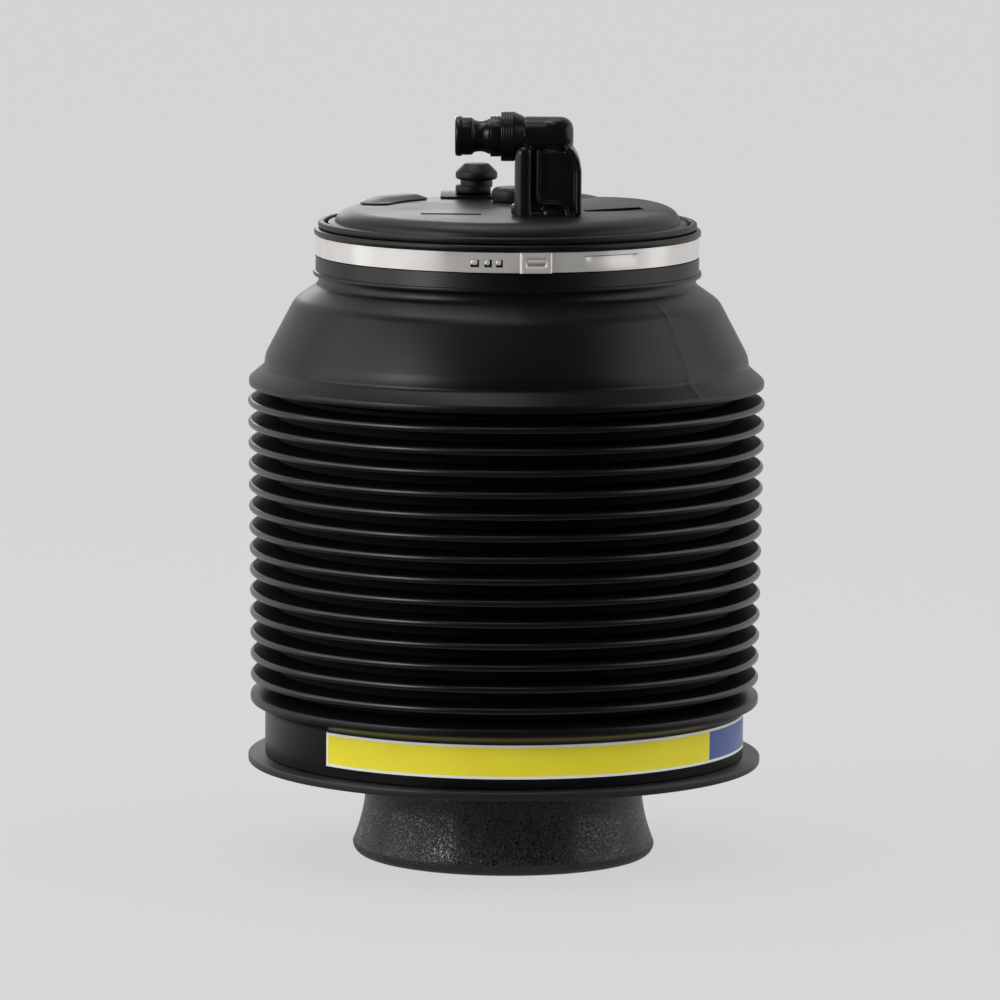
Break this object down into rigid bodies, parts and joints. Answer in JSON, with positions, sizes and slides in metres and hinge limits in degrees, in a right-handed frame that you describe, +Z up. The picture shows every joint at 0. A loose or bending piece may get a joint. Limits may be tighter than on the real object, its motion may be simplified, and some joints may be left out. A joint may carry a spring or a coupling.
{
  "type": "air suspension spring",
  "caption": "Rolling-lobe air spring with a ribbed dust boot, a neck clamp, a flared piston foot and an elbow air fitting on its cap.",
  "frame": {"origin": "centre of the piston foot's underside, on the spring's axis", "axes": "+Z up along the spring's axis, towards the cap; -Y is the side where the elbow fitting's post stands; the air connector points to -X"},
  "size_m": [0.19, 0.19, 0.2763],
  "materials": {
    "boot_rubber": "satin black moulded rubber",
    "piston_plastic": "black glass-filled plastic, grained on the foot",
    "black_plastic": "satin black moulded plastic",
    "seal_rubber": "matt black rubber",
    "sleeve_rubber": "matt black fabric-reinforced rubber",
    "bump_foam": "cream microcellular foam",
    "steel": "rolled stainless steel strip",
    "label_print": "printed film: yellow field, white border, blue end"
  },
  "bodies": {
    "lower_half": {"piston": "piston_plastic", "piston_floor": "black_plastic", "arm_insert": "steel", "boot_carrier": "boot_rubber", "carrier_lock_ring": "steel", "boot_cuff": "boot_rubber", "label": "label_print", "lower_crimp_ring": "steel"},
    "upper_half": {"boot_bellows": "boot_rubber", "boot_shoulder": "boot_rubber", "clamp_band": "steel", "support_ring": "black_plastic", "top_cap": "black_plastic", "deck_pad_1": "black_plastic", "deck_pad_2": "black_plastic", "stud_plate": "black_plastic", "locating_stud": "seal_rubber", "port_plug": "seal_rubber", "elbow_fitting": "black_plastic", "elbow_seal": "seal_rubber", "connector_nut": "black_plastic", "connector_seal": "seal_rubber", "air_sleeve": "sleeve_rubber", "upper_crimp_ring": "steel", "bump_stop": "bump_foam", "bump_stop_cup": "steel", "bump_stop_bolt": "steel"},
    "collar": {"release_collar": "black_plastic"},
    "plug": {"transit_plug": "black_plastic"}
  },
  "joints": [
    {"name": "stroke", "type": "slide", "parent": "lower_half", "child": "upper_half", "axis": [0, 0, -1], "range_m": [0, 0.07], "stiffness_N_per_m": 2500, "springref_m": -0.01, "deforming": ["boot_bellows", "air_sleeve"]},
    {"name": "collar_press", "type": "slide", "parent": "upper_half", "child": "collar", "axis": [1, 0, 0], "range_m": [0, 0.0015], "stiffness_N_per_m": 500, "springref_m": -0.002},
    {"name": "plug_pull", "type": "slide", "parent": "upper_half", "child": "plug", "axis": [-1, 0, 0], "range_m": [0, 0.022]}
  ]
}
